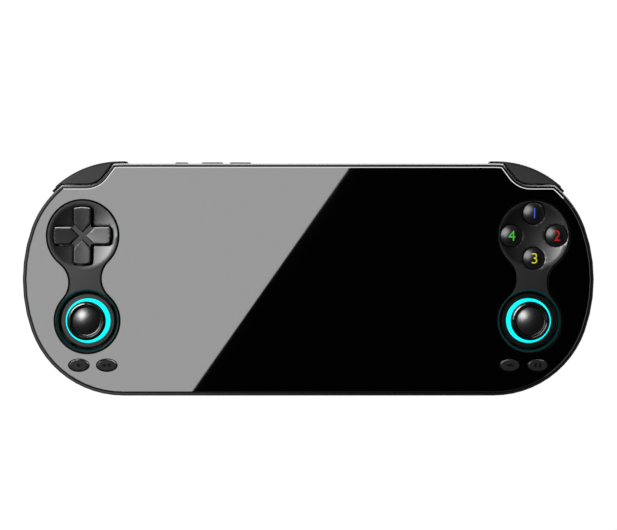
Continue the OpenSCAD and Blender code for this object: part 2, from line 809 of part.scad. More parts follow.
module screen_tray() {
  tray_ear = 2.7;
  tray_ear_l = 36;
  tray_rail = 6;
  tray_foot = 17;
  tray_head = 9;
  tray_corner = 4;
  lead_room = 1;
  color("#9a9ca0") difference() {
    union() {
      screen_window(tray_gap + tray_t, tray_low, plate_z);
      for (x = [-1, 1]) translate([x * (screen_w + tray_ear) / 2, 0, plate_z - tray_t / 2])
        cube([tray_ear, tray_ear_l, tray_t], center = true);
    }
    screen_window(tray_gap, screen_z, plate_z + over);
    block(
      [lead_x[0] - lead_room, -screen_h, screen_z - tray_gap],
      [lead_x[1] + lead_room, -screen_h / 2 + fit_gap, plate_z + over]);
    for (x = [-1, 1]) slab(tray_low - over, screen_z + over)
      translate([x * screen_w / 4, (tray_foot - tray_head) / 2])
        round_rect(screen_w / 2 - 2 * tray_rail, screen_h - tray_foot - tray_head, tray_corner);
  }
}

// Screen lead: folded film that runs down the lower wall to its plug on the main board
module screen_lead() {
  film = 0.2;
  plug_w = 2;
  plug_lid = 0.4;
  out_y = -(screen_h / 2 + 1.2);
  top = plate_z - 0.15;
  plug_y = out_y + 2 * plug_w;
  low = board_top + 0.7;
  color("#b5702a") translate([lead_x[0], 0, 0]) rotate([90, 0, 90]) linear_extrude(lead_x[1] - lead_x[0])
    polygon([
      [-screen_h / 2, top - film], [-screen_h / 2, top], [out_y - film, top], [out_y - film, low],
      [plug_y - plug_w, low], [plug_y - plug_w, board_top], [plug_y, board_top], [plug_y, low + plug_lid],
      [plug_y - plug_w, low + plug_lid], [plug_y - plug_w, low + film], [out_y, low + film],
      [out_y, top - film]]);
}

module main_board() {
  room_w = jack_body_w + 2 * socket_gap;
  room_y = jack_body_y + jack_body_l + socket_gap;
  color("#1e4d33") slab(board_z, board_top) difference() {
    translate([-main_board_x, main_board_y[0]]) square([2 * main_board_x, main_board_y[1] - main_board_y[0]]);
    translate([jack_x - room_w / 2, main_board_y[0] - over])
      square([room_w, room_y - main_board_y[0] + over]);
  }
}

module shield_can() {
  can_c = [(can_x[0] + can_x[1]) / 2, can_y];
  can_w = can_x[1] - can_x[0];
  can_l = 14;
  can_h = 1.8;
  sheet = 0.2;
  corner = 1;
  color("#b9bbbe") difference() {
    slab(board_top, board_top + can_h) translate(can_c) round_rect(can_w, can_l, corner);
    slab(board_top - over, board_top + can_h - sheet) translate(can_c)
      round_rect(can_w - 2 * sheet, can_l - 2 * sheet, corner - sheet);
  }
}

// Charging socket: drawn metal shell with its contact tongue
module charging_socket() {
  shell_t = 0.3;
  back_t = 1;
  length = 7.3;
  tongue_w = 6.7;
  tongue_t = 0.7;
  tongue_l = 5;
  color("#b9bbbe") translate([usb_x, socket_y, usb_z]) rotate([90, 0, 0]) {
    translate([0, 0, -length]) difference() {
      linear_extrude(length) stadium(usb_w, usb_h);
      translate([0, 0, back_t]) linear_extrude(length) stadium(usb_w - 2 * shell_t, usb_h - 2 * shell_t);
    }
    translate([0, 0, -length + back_t - sink]) linear_extrude(tongue_l + sink)
      square([tongue_w, tongue_t], center = true);
  }
}

// Headphone jack: sunk body with a round barrel that reaches into the bottom wall
module headphone_jack() {
  wing = 2;
  wing_t = 0.8;
  back_t = 1;
  end_y = jack_body_y + jack_body_l;
  color("#1b1b1d") difference() {
    union() {
      block(
        [jack_x - jack_body_w / 2, jack_body_y, jack_z - jack_body_h / 2],
        [jack_x + jack_body_w / 2, end_y, jack_z + jack_body_h / 2]);
      block(
        [jack_x - jack_body_w / 2 - wing, main_board_y[0] + fit_gap, board_top],
        [jack_x + jack_body_w / 2 + wing, end_y, board_top + wing_t]);
      translate([jack_x, jack_body_y + sink, jack_z]) rotate([90, 0, 0])
        cylinder(h = jack_body_y + sink - socket_y, r = jack_barrel_r);
    }
    translate([jack_x, end_y - back_t, jack_z]) rotate([90, 0, 0]) cylinder(h = 2 * jack_body_l, r = jack_r);
  }
}

// Memory card socket: flat metal can, open at the mouth
module card_socket() {
  side_t = 0.7;
  lid_t = 0.2;
  back_t = 1;
  l = 13;
  w = card_w + 2 * side_t;
  y0 = -(half_h - wall - 0.6);
  color("#b9bbbe") difference() {
    block([card_x - w / 2, y0, board_top], [card_x + w / 2, y0 + l, card_z + card_h / 2 + lid_t]);
    block(
      [card_x - card_w / 2, y0 - over, card_z - card_h / 2],
      [card_x + card_w / 2, y0 + l - back_t, card_z + card_h / 2]);
  }
}

module battery() {
  seam = 1.5;
  seam_t = 1.2;
  mid_z = floor_t + battery_t / 2;
  color("#8d9094") union() {
    slab(floor_t, floor_t + battery_t) translate(battery_c) round_rect(battery_w - 2 * seam, battery_h, 2);
    slab(mid_z - seam_t / 2, mid_z + seam_t / 2) translate(battery_c)
      round_rect(battery_w, battery_h - 2 * seam, 1);
  }
}

// Button board of one side, cut clear of the screw towers
module button_board() {
  slab(board_z, board_top) difference() {
    intersection() {
      polygon(outline_path(board_edge));
      translate([-body_w, -body_h]) square([body_w + button_board_x, body_h + button_board_y]);
    }
    for (c = screw_cs) translate(c) circle(screw_tower_r + board_gap);
  }
}

module left_button_board() {
  color("#1e4d33") difference() {
    button_board();
    rod(pad_c, post_r + board_gap, board_z - over, board_top + over);
  }
}

module right_button_board() {
  color("#1e4d33") other_side() button_board();
}

// Ribbon lead with a plug on each board
module ribbon() {
  down = 4;
  ribbon_w = 7;
  y = [main_board_y[1] - down - ribbon_w, main_board_y[1] - down];
  plug_l = 2;
  plug_h = 1.1;
  film = 0.2;
  edge = 0.5;
  x0 = button_board_x - plug_l - sink;
  x1 = -main_board_x + plug_l + sink;
  block([x0, y[0], board_top], [x0 + plug_l, y[1], board_top + plug_h]);
  block([x1 - plug_l, y[0], board_top], [x1, y[1], board_top + plug_h]);
  block(
    [x0 + plug_l / 2, y[0] + edge, board_top + edge],
    [x1 - plug_l / 2, y[1] - edge, board_top + edge + film]);
}

module left_ribbon() {
  color("#b5702a") ribbon();
}

module right_ribbon() {
  color("#b5702a") other_side() ribbon();
}

// Speaker: framed box on the floor, over the slots
module speaker() {
  step = 1;
  frame_w = 2;
  translate([speaker_c[0], speaker_c[1], floor_t]) {
    linear_extrude(speaker_t - step) round_rect(speaker_w, speaker_l, 1.5);
    linear_extrude(speaker_t) round_rect(speaker_w - 2 * frame_w, speaker_l - 3 * frame_w, 2);
  }
}

module left_speaker() {
  color("#2c2d30") speaker();
}

module right_speaker() {
  color("#2c2d30") other_side() speaker();
}

// Cross key: arms that slope down to the middle, parted by a crossed channel, on a flange with a ball socket
module cross_key() {
  r = cross_span / 2;
  tip_z = body_t + cross_proud;
  mid_z = tip_z - cross_hollow;
  slope = atan2(cross_hollow, r);
  low = cross_flange_z - cross_flange_t;
  socket_r = 2.8;
  foot_r = 1.2;
  channel_l = 9;
  channel_w = 1.5;
  channel_d = 0.4;
  channel_draft = 25;
  channel_h = cross_hollow + channel_d + over;
  channel_top = channel_w / 2 + channel_h * tan(channel_draft);
  color("#2b2b2d") translate([pad_c[0], pad_c[1], 0]) difference() {
    union() {
      intersection() {
        slab(cross_flange_z - sink, tip_z + over) cross_plan(0);
        rotate_extrude() polygon([
          [0, low], [r + over, low], [r + over, tip_z - cross_chamfer - over],
          [r - cross_chamfer, tip_z - cross_chamfer * tan(slope)], [0, mid_z]]);
        for (a = [0:90:270]) translate([0, 0, mid_z]) rotate([0, -slope, a]) arm_roof();
      }
      slab(low, cross_flange_z) circle(cross_flange_r);
      slab(cross_tilt_z - 0.2, low + sink) circle(socket_r);
      for (a = [0:90:270]) rod(cross_pad_r * [cos(a), sin(a)], foot_r, rubber_top + key_rest, low + sink);
    }
    for (a = [45, 135]) translate([0, 0, mid_z - channel_d]) rotate([90, 0, a])
      linear_extrude(channel_l, center = true) polygon([
        [-channel_w / 2, 0], [channel_w / 2, 0], [channel_top, channel_h], [-channel_top, channel_h]]);
    translate([0, 0, cross_tilt_z]) sphere(ball_r + ball_gap);
  }
}

// Bar along an arm of the cross key, with its top edges cut back at 45 degrees
module arm_roof() {
  h = cross_arm / 2;
  deep = 2 * cross_proud + rim_z - cross_flange_z;
  rotate([90, 0, 90]) linear_extrude(cross_span)
    polygon([
      [-h - over, -deep], [h + over, -deep], [h + over, -cross_chamfer - over],
      [h - cross_chamfer - over, over], [over + cross_chamfer - h, over],
      [-h - over, -cross_chamfer - over]]);
}

module cross_pivot_ball() {
  color("#c9ccd0") translate([pad_c[0], pad_c[1], cross_tilt_z]) sphere(ball_r);
}

module rubber_domes(cs) {
  foot_r = 2.2;
  head_r = 1.6;
  for (c = cs) translate([c[0], c[1], board_top + rubber_t]) {
    cylinder(h = rubber_dome, r1 = foot_r, r2 = head_r);
    translate([0, 0, -sink]) cylinder(h = sink, r = foot_r);
  }
}

module cross_key_rubber() {
  color("#6f7276") difference() {
    union() {
      rod(pad_c, cross_pad_r + rubber_edge, board_top, board_top + rubber_t);
      rubber_domes([for (a = [0:90:270]) pad_c + cross_pad_r * [cos(a), sin(a)]]);
    }
    rod(pad_c, post_r + 2 * fit_gap, board_top - over, board_top + rubber_t + over);
  }
}

// Face key: domed cap, flange under the bezel, stem down to the rubber
module face_key(a) {
  top = body_t + face_proud;
  rise = top - bezel_z;
  dome = (pow(face_r, 2) + pow(rise, 2)) / (2 * rise);
  flange = 0.8;
  flange_z = plate_z - 0.4;
  stem_r = 1.4;
  translate([face_c(a)[0], face_c(a)[1], 0]) {
    intersection() {
      slab(flange_z - sink, top) circle(face_r);
      translate([0, 0, top - dome]) sphere(dome);
    }
    slab(flange_z - key_flange_t, flange_z) circle(face_r + flange);
    slab(rubber_top + key_rest, flange_z - sink) circle(stem_r);
  }
}

module face_key_top() {
  color("#1c1c1f") face_key(90);
}

module face_key_right() {
  color("#1c1c1f") face_key(0);
}

module face_key_bottom() {
  color("#1c1c1f") face_key(270);
}

module face_key_left() {
  color("#1c1c1f") face_key(180);
}

module face_key_rubber() {
  color("#6f7276") union() {
    rod([-pad_c[0], pad_c[1]], face_pitch + rubber_edge, board_top, board_top + rubber_t);
    rubber_domes([for (a = [0:90:270]) face_c(a)]);
  }
}

// Oval key: chamfered cap, flange under the plate, stem down to the rubber
module oval_key(c) {
  top = body_t + oval_proud;
  stem_r = 1.2;
  translate([c[0], c[1], 0]) {
    loft(
      [for (c = [0, 0, oval_chamfer]) ellipse_path(oval_w - 2 * c, oval_h - 2 * c)],
      [oval_flange_z - sink, top - oval_chamfer, top]);
    slab(oval_flange_z - key_flange_t, oval_flange_z)
      polygon(ellipse_path(oval_w + 2 * oval_flange, oval_h + 2 * oval_flange));
    slab(rubber_top + key_rest, oval_flange_z - sink) circle(stem_r);
  }
}

module left_outer_oval_key() {
  color("#1c1c1f") oval_key(oval_cs[0]);
}

module left_inner_oval_key() {
  color("#1c1c1f") oval_key(oval_cs[1]);
}

module right_inner_oval_key() {
  color("#1c1c1f") other_side() oval_key(oval_cs[1]);
}

module right_outer_oval_key() {
  color("#1c1c1f") other_side() oval_key(oval_cs[0]);
}

module oval_key_rubbers() {
  sheet_w = 4.6;
  color("#6f7276") both_sides() union() {
    slab(board_top, board_top + rubber_t) translate((oval_cs[0] + oval_cs[1]) / 2)
      stadium(oval_pitch + sheet_w, sheet_w);
    rubber_domes(oval_cs);
  }
}

// Stick module of one side, drawn round its own axis
module at_stick() {
  translate([stick_c[0], stick_c[1], 0]) children();
}

module stick_base() {
  inside = stick_box - 2 * stick_wall;
  at_stick() difference() {
    slab(board_top, base_top) round_rect(stick_box, stick_box, 0.8);
    slab(board_top + base_floor, base_top + over) square(inside, center = true);
    translate([0, 0, stick_pivot]) rotate([0, 90, 0])
      cylinder(h = stick_box + 2 * over, r = yoke_pin_r + gimbal_play, center = true);
  }
}

module stick_yoke() {
  pin_reach = stick_box / 2 - 0.3;
  pin_root = (yoke_r + yoke_in_r) / 2;
  at_stick() translate([0, 0, stick_pivot]) difference() {
    union() {
      cylinder(h = yoke_h, r = yoke_r, center = true);
      for (a = [0, 180]) rotate([0, 90, a]) translate([0, 0, pin_root])
        cylinder(h = pin_reach - pin_root, r = yoke_pin_r);
    }
    cylinder(h = yoke_h + 2 * over, r = yoke_in_r, center = true);
    rotate([90, 0, 0]) cylinder(h = 2 * (yoke_r + over), r = stem_pin_r + gimbal_play, center = true);
  }
}

// Stem: pivot block with cross pins, column, dust dome and the shaft for the cap
module stick_stem() {
  dome_t = 0.7;
  dome_reach = 62;
  dome_cut = (dome_r - dome_t) * cos(dome_reach);
  column_r = 1.5;
  shaft_z = dome_r - dome_t + 0.2;
  at_stick() translate([0, 0, stick_pivot]) {
    sphere(stem_block_r);
    rotate([90, 0, 0]) cylinder(h = 2 * (yoke_r - sink), r = stem_pin_r, center = true);
    cylinder(h = shaft_z + 0.2, r = column_r);
    translate([0, 0, shaft_z]) cylinder(h = cap_z + shaft_in - stick_pivot - shaft_z, r = shaft_r);
    intersection() {
      difference() {
        sphere(dome_r);
        sphere(dome_r - dome_t);
      }
      translate([0, 0, dome_cut]) cylinder(h = dome_r, r = dome_r + over);
    }
  }
}

// Cap: raised rim round a dome, notched at four points, with a hub that grips the shaft
module stick_cap() {
  rim_in = cap_r - 1.8;
  rim_h = 1.3;
  hub_low = cap_z - 0.9;
  hub_out_r = 3;
  dome_base = 0.6;
  dome_rise = cap_h - dome_base;
  dome_sphere = (pow(rim_in, 2) + pow(dome_rise, 2)) / (2 * dome_rise);
  dome = [for (i = [0:10]) let (a = asin(rim_in / dome_sphere) * (1 - i / 10))
    [dome_sphere * sin(a), cap_z + cap_h - dome_sphere * (1 - cos(a))]];
  rim = [
    [cap_r - 0.2, cap_z], [cap_r, cap_z + 0.3], [cap_r - 0.1, cap_z + 0.7],
    [cap_r - 0.55, cap_z + rim_h - 0.1], [cap_r - 0.9, cap_z + rim_h], [cap_r - 1.2, cap_z + rim_h - 0.1],
    [rim_in + 0.15, cap_z + dome_base]];
  at_stick() difference() {
    rotate_extrude() polygon(concat([[0, hub_low], [hub_out_r, hub_low], [hub_out_r, cap_z]], rim, dome));
    rod([0, 0], shaft_r + cap_grip, hub_low - over, cap_z + shaft_in + cap_grip);
    for (a = [0:90:270]) rotate(a) translate([cap_r - 0.9, 0, cap_z + rim_h])
      cube([2.2, 0.7, 0.8], center = true);
  }
}

module light_ring() {
  chamfer = 0.15;
  low = ring_z - light_t;
  at_stick() rotate_extrude()
    polygon([
      [light_in_r, low], [light_r, low], [light_r, ring_z - chamfer], [light_r - chamfer, ring_z],
      [light_in_r, ring_z]]);
}

module trim_ring() {
  chamfer = 0.3;
  ledge_r = light_r - 1;
  ledge_z = ring_z - light_t;
  at_stick() rotate_extrude()
    polygon([
      [ledge_r, base_top], [trim_r, base_top], [trim_r, ring_z - chamfer], [trim_r - chamfer, ring_z],
      [light_r + fit_gap, ring_z], [light_r + fit_gap, ledge_z], [ledge_r, ledge_z]]);
}

// Return spring: a cone of wire between the base floor and the pivot block
module stick_spring() {
  ring_n = 6;
  steps = 16 * spring_turns;
  low = board_top + base_floor + spring_wire;
  high = stick_pivot - stem_block_r + 0.1;
  low_r = 3;
  high_r = 1.2;
  path = [for (i = [0:steps])
    let (a = 360 * spring_turns * i / steps, r = low_r + (high_r - low_r) * i / steps)
    [r * cos(a), r * sin(a), low + (high - low) * i / steps]];
  points = [for (i = [0:steps]) let (a = 360 * spring_turns * i / steps) for (k = [0:ring_n - 1])
    path[i] + spring_wire * (cos(60 * k) * [cos(a), sin(a), 0] + sin(60 * k) * [0, 0, 1])];
  sides = [for (i = [0:steps - 1]) for (k = [0:ring_n - 1]) let (m = (k + 1) % ring_n)
    each [[i * ring_n + k, i * ring_n + m, (i + 1) * ring_n + m],
      [i * ring_n + k, (i + 1) * ring_n + m, (i + 1) * ring_n + k]]];
  at_stick() polyhedron(points, concat(
    [[for (k = [ring_n - 1:-1:0]) k]], sides, [[for (k = [0:ring_n - 1]) steps * ring_n + k]]));
}

module left_stick_cap() {
  color("#202023") stick_cap();
}

module left_stick_stem() {
  color("#19191b") stick_stem();
}

module left_stick_yoke() {
  color("#d8d5cc") stick_yoke();
}

module left_stick_base() {
  color("#232325") stick_base();
}

module left_light_ring() {
  color("#28e6e6") light_ring();
}

module left_trim_ring() {
  color("#38383b") trim_ring();
}

module right_stick_cap() {
  color("#202023") other_side() stick_cap();
}

module right_stick_stem() {
  color("#19191b") other_side() stick_stem();
}

module right_stick_yoke() {
  color("#d8d5cc") other_side() stick_yoke();
}

module right_stick_base() {
  color("#232325") other_side() stick_base();
}

module right_light_ring() {
  color("#28e6e6") other_side() light_ring();
}

module right_trim_ring() {
  color("#38383b") other_side() trim_ring();
}

module stick_springs() {
  color("#b9bbbe") both_sides() stick_spring();
}

// Plan of a shoulder key: all that lies outside the case between two angles of the shoulder arc
module shoulder_plan(span) {
  far = 3 * shoulder_r;
  difference() {
    polygon([
      shoulder_c, turn(shoulder_c, far, span[0]), turn(shoulder_c, far, (span[0] + span[1]) / 2),
      turn(shoulder_c, far, span[1])]);
    polygon(case_path(-key_gap));
  }
}

// Ear of a shoulder key: bar and hub on the pin
module shoulder_ear(z) {
  slab(z[0], z[1]) difference() {
    union() {
      translate(pivot_c) circle(hub_r);
      translate(pivot_c) rotate(ear_a) translate([0, -ear_w / 2]) square([ear_reach, ear_w]);
    }
    translate(pivot_c) circle(pin_r + pin_play);
  }
}

module shoulder_plunger(z) {
  block(
    [plunger_x - plunger_w / 2, plunger_end, z - plunger_h / 2],
    [plunger_x + plunger_w / 2, notch_y + key_gap + sink, z + plunger_h / 2]);
}

// Front shoulder key: outer face is a revolve with a rounded front edge
module shoulder_key() {
  r = shoulder_r - front_key_drop;
  in_r = r / 6;
  round = 1;
  edge = arc([r - round, front_key_z1 - round], round, 0, 90, 5);
  intersection() {
    slab(front_key_z0, front_key_z1) shoulder_plan(front_key_span);
    translate(shoulder_c) rotate_extrude()
      polygon(concat([[in_r, front_key_z0 - over], [r, front_key_z0 - over]], edge, [[in_r, front_key_z1]]));
  }
  shoulder_ear(front_ear);
  shoulder_plunger(front_plunger_z);
}

// Trigger: behind the front key, with the rounded back edge of the case
module trigger() {
  r = shoulder_r;
  in_r = r / 6;
  edge = [for (k = [0:back_steps]) let (a = 90 * k / back_steps)
    [r - back_round * (1 - sin(a)), trigger_z0 + back_round * (1 - cos(a))]];
  intersection() {
    slab(trigger_z0, trigger_z1) shoulder_plan(trigger_span);
    translate(shoulder_c) rotate_extrude()
      polygon(concat([[in_r, trigger_z0]], edge, [[r, trigger_z1 + over], [in_r, trigger_z1 + over]]));
  }
  shoulder_ear(trigger_ear);
  shoulder_plunger(trigger_plunger_z);
}

module left_shoulder_key() {
  color("#4a4a4c") shoulder_key();
}

module left_trigger() {
  color("#1f1f21") trigger();
}

module right_shoulder_key() {
  color("#4a4a4c") other_side() shoulder_key();
}

module right_trigger() {
  color("#1f1f21") other_side() trigger();
}

module shoulder_pins() {
  color("#b9bbbe") both_sides() rod(pivot_c, pin_r, pin_z0, pin_z1);
}

// Upright board behind the notch wall, held in slotted posts
module shoulder_board() {
  block(
    [shoulder_board_x[0], shoulder_board_y - shoulder_board_t, shoulder_board_z[0]],
    [shoulder_board_x[1], shoulder_board_y, shoulder_board_z[1]]);
}

module left_shoulder_board() {
  color("#1e4d33") shoulder_board();
}

module right_shoulder_board() {
  color("#1e4d33") other_side() shoulder_board();
}

module shoulder_switches() {
  switch_l = 1.8;
  nub_r = 0.6;
  color("#a9abae") both_sides() for (z = [front_plunger_z, trigger_plunger_z]) {
    block(
      [plunger_x - switch_w / 2, shoulder_board_y, z - switch_l / 2],
      [plunger_x + switch_w / 2, shoulder_board_y + switch_h, z + switch_l / 2]);
    translate([plunger_x, shoulder_board_y + switch_h - sink, z]) rotate([-90, 0, 0])
      cylinder(h = switch_nub + sink, r = nub_r);
  }
}

// Top key: rounded bar through the wall, with a flange inside it
module top_key(i) {
  translate([top_key_xs[i], 0, top_key_z]) {
    translate([0, top_flange_y - sink, 0]) rotate([-90, 0, 0])
      linear_extrude(half_h + top_key_proud - top_flange_y + sink) stadium(top_key_ws[i], top_key_h);
    translate([0, top_flange_y - top_flange_t, 0]) rotate([-90, 0, 0])
      linear_extrude(top_flange_t) square([top_key_ws[i] + 2 * top_flange, top_key_h], center = true);
  }
}

module power_key() {
  color("#1c1c1f") top_key(0);
}

module volume_down_key() {
  color("#1c1c1f") top_key(1);
}

module volume_up_key() {
  color("#1c1c1f") top_key(2);
}

module top_key_board() {
  color("#1e4d33") block(
    [top_board_x[0], top_board_y[0], board_z], [top_board_x[1], top_board_y[1], board_top]);
}

module top_key_switches() {
  case_l = 3.6;
  case_d = 2.2;
  case_h = 2.4;
  nub_r = 0.5;
  face_y = top_switch_y - top_nub;
  color("#a9abae") for (x = top_key_xs) {
    block([x - case_l / 2, face_y - case_d, board_top], [x + case_l / 2, face_y, board_top + case_h]);
    translate([x, face_y - sink, top_key_z]) rotate([-90, 0, 0]) cylinder(h = top_nub + sink, r = nub_r);
  }
}

place() front_shell();
place() rear_shell();
place() front_glass();
place() left_control_bezel();
place() right_control_bezel();
place() case_screws();
place() screen_panel();
place() screen_tray();
place() screen_lead();
place() main_board();
place() shield_can();
place() charging_socket();
place() headphone_jack();
place() card_socket();
place() battery();
place() left_button_board();
place() right_button_board();
place() left_ribbon();
place() right_ribbon();
place() left_speaker();
place() right_speaker();
place() cross_key();
place() cross_pivot_ball();
place() cross_key_rubber();
place() face_key_top();
place() face_key_right();
place() face_key_bottom();
place() face_key_left();
place() face_key_rubber();
place() left_outer_oval_key();
place() left_inner_oval_key();
place() right_inner_oval_key();
place() right_outer_oval_key();
place() oval_key_rubbers();
place() left_stick_cap();
place() left_stick_stem();
place() left_stick_yoke();
place() left_stick_base();
place() left_light_ring();
place() left_trim_ring();
place() right_stick_cap();
place() right_stick_stem();
place() right_stick_yoke();
place() right_stick_base();
place() right_light_ring();
place() right_trim_ring();
place() stick_springs();
place() left_shoulder_key();
place() left_trigger();
place() right_shoulder_key();
place() right_trigger();
place() shoulder_pins();
place() left_shoulder_board();
place() right_shoulder_board();
place() shoulder_switches();
place() power_key();
place() volume_down_key();
place() volume_up_key();
place() top_key_board();
place() top_key_switches();
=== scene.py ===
"""Looks of a handheld game console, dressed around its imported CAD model, lying on its back."""

import json
import math

import bpy
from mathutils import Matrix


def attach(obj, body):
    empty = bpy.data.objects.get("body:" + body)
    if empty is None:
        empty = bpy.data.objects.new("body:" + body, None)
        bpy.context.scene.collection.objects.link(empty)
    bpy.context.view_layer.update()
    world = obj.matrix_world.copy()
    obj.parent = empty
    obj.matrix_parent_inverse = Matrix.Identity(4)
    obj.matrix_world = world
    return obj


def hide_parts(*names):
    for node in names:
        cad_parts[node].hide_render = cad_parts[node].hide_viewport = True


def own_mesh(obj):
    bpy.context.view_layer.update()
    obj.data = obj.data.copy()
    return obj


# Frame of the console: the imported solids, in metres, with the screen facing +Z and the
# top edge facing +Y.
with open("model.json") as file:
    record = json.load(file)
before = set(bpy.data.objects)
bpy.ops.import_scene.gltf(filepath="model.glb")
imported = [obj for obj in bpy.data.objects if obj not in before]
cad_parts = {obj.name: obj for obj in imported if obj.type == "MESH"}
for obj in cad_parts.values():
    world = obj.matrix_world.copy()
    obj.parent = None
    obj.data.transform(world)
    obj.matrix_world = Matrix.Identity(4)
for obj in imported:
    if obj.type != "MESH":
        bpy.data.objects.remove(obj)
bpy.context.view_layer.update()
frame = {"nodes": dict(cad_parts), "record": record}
MM = 0.001
behaviour = frame["record"]["behaviour"]
body_of = {node: body for body, nodes in behaviour["bodies"].items() for node in nodes}


# Studio: a white table that glows a little, so that no shadow greys it, and a room with a dark ceiling.
# The flat glass mirrors one slanted card over the left half and the dark ceiling over the right half.
def linear(hex_colour):
    """An sRGB hex colour as linear RGBA."""
    channels = [int(hex_colour[i:i + 2], 16) / 255 for i in (1, 3, 5)]
    return (*[c / 12.92 if c <= 0.04045 else ((c + 0.055) / 1.055) ** 2.4 for c in channels], 1.0)


def add_node(tree, kind, values=None, links=None, **settings):
    """A shader node with its settings, its socket values and the sockets that feed it."""
    node = tree.nodes.new("ShaderNode" + kind)
    for name, value in settings.items():
        setattr(node, name, value)
    for socket, value in (values or {}).items():
        node.inputs[socket].default_value = value
    for socket, source in (links or {}).items():
        tree.links.new(source, node.inputs[socket])
    return node


def new_finish(name):
    """An empty material and its node tree."""
    finish = bpy.data.materials.new(name)
    finish.use_nodes = True
    finish.node_tree.nodes.clear()
    return finish, finish.node_tree


def area_light(name, place, aim, width, height, radiance, fills=False):
    """A rectangular light of an even brightness that faces the point aim. The camera doesn't see it.
    It shows in the shine of surfaces alone or, if it fills, in their plain colour alone."""
    lamp = bpy.data.lights.new(name, "AREA")
    lamp.shape = "RECTANGLE"
    lamp.size, lamp.size_y = width, height
    lamp.energy = radiance * math.pi * width * height
    light = bpy.data.objects.new(name, lamp)
    bpy.context.scene.collection.objects.link(light)
    light.location = place
    toward = [a - p for a, p in zip(aim, place)]
    light.rotation_euler = (
        math.acos(-toward[2] / math.dist(aim, place)), 0.0, math.atan2(-toward[0], toward[1]))
    light.visible_camera = False
    light.visible_diffuse = fills
    light.visible_glossy = not fills
    return light


def link_light(light, state, *pieces, role="receiver"):
    """Lets a light reach these pieces alone (INCLUDE), or all pieces but these (EXCLUDE).
    With the role blocker, it says instead which pieces throw shadows in that light."""
    group = bpy.data.collections.new(f"{light.name}_{role}_{state.lower()}")
    setattr(light.light_linking, role + "_collection", group)
    for piece in pieces:
        group.objects.link(piece)
    for member in group.collection_objects:
        member.light_linking.link_state = state


scene = bpy.context.scene
scene.view_settings.view_transform = "Standard"
camera = bpy.data.objects.new("camera", bpy.data.cameras.new("camera"))
scene.collection.objects.link(camera)
scene.camera = camera
camera.location = (0.07 * MM, 4.24 * MM, 433 * MM)
camera.data.lens = 74.4
camera.data.clip_start = 0.01

# Each light: its place, the point it faces, its width and height in metres, and its radiance.
LEFT_AIM, RIGHT_AIM = (-0.074, 0.0, 0.014), (0.074, 0.0, 0.014)
LEFT_CAP_AIM, RIGHT_CAP_AIM = (-0.073, 0.0, 0.014), (0.073, 0.0, 0.014)
CARD_EDGE = math.atan2(0.8183, 0.5749)
card = area_light("card", (-0.3219, 0.1922, 0.814), (-0.3219, 0.1922, 0.0), 0.70, 1.30, 8.0)
card.rotation_euler = (0.0, 0.0, CARD_EDGE - math.pi / 2)
left_softbox = area_light("left_softbox", (-0.488, 0.150, 0.556), LEFT_AIM, 0.40, 0.40, 22.0)
right_softbox = area_light("right_softbox", (-0.116, 0.206, 0.704), RIGHT_AIM, 0.20, 0.20, 44.0)
left_dome_softbox = area_light(
    "left_dome_softbox", (-0.42, 0.32, 0.56), LEFT_CAP_AIM, 0.42, 0.42, 72.0)
right_dome_softbox = area_light(
    "right_dome_softbox", (-0.27, 0.32, 0.56), RIGHT_CAP_AIM, 0.42, 0.42, 72.0)
low_wall = area_light("low_wall", (-0.47, 0.36, 0.5), (0.04, 0.0, 0.014), 0.8, 0.8, 9.0)
glass_strip = area_light("glass_strip", (0.012, 0.085, 0.015), (0.012, 0.0, 0.015), 0.304, 0.028, 15.0)
frame_strip = area_light("frame_strip", (0.0, 0.085, 0.015), (0.0, 0.0, 0.015), 0.40, 0.028, 42.0)
fill = area_light("fill", (-0.2, 0.1, 0.9), (0.0, 0.0, 0.0), 0.9, 0.9, 3.4, fills=True)

world = bpy.data.worlds.new("dim_room")
scene.world = world
world.use_nodes = True
room = world.node_tree
room.nodes.clear()
direction = add_node(room, "TexCoord")
axes = add_node(room, "SeparateXYZ", links={0: direction.outputs["Generated"]})
ceiling = add_node(room, "ValToRGB", links={0: axes.outputs["Z"]})
ceiling.color_ramp.elements[0].color = (0.2, 0.2, 0.2, 1)
ceiling.color_ramp.elements[1].position = 0.7
ceiling.color_ramp.elements[1].color = (0.0, 0.0, 0.0, 1)
path = add_node(room, "LightPath")
walls = add_node(
    room, "Mix", data_type="RGBA", values={"B": (1, 1, 1, 1)},
    links={"Factor": path.outputs["Is Camera Ray"], "A": ceiling.outputs["Color"]})
glow = add_node(room, "Background", links={"Color": walls.outputs["Result"]})
add_node(room, "OutputWorld", links={"Surface": glow.outputs["Background"]})

TABLE_SIZE, TABLE_DROP = 6, 0.2
bpy.ops.object.select_all(action="DESELECT")
bpy.ops.mesh.primitive_plane_add(size=TABLE_SIZE, location=(0, 0, -TABLE_DROP * MM))
table = bpy.context.object
table.name = "table"
white_table, tree = new_finish("white_table")
surface = add_node(tree, "BsdfPrincipled", values={
    "Base Color": linear("#f4f4f4"), "Roughness": 0.9, "Specular IOR Level": 0.1,
    "Emission Color": (1, 1, 1, 1), "Emission Strength": 0.98})
add_node(tree, "OutputMaterial", links={"Surface": surface.outputs["BSDF"]})
table.data.materials.append(white_table)

# Case: two shells of black ABS, moulded with a fine spark-eroded grain and closed by screws from the back.
# The grain breaks the sheen up. It is drawn 0.5 mm wide, coarser than the real one, so that it shows.
CASE_GRAIN, MERGE = 0.5, 1e-6


def start_edit(piece):
    """Selects one piece alone and all of its mesh, in edit mode."""
    bpy.ops.object.select_all(action="DESELECT")
    piece.select_set(True)
    bpy.context.view_layer.objects.active = piece
    bpy.ops.object.mode_set(mode="EDIT")
    bpy.ops.mesh.select_all(action="SELECT")


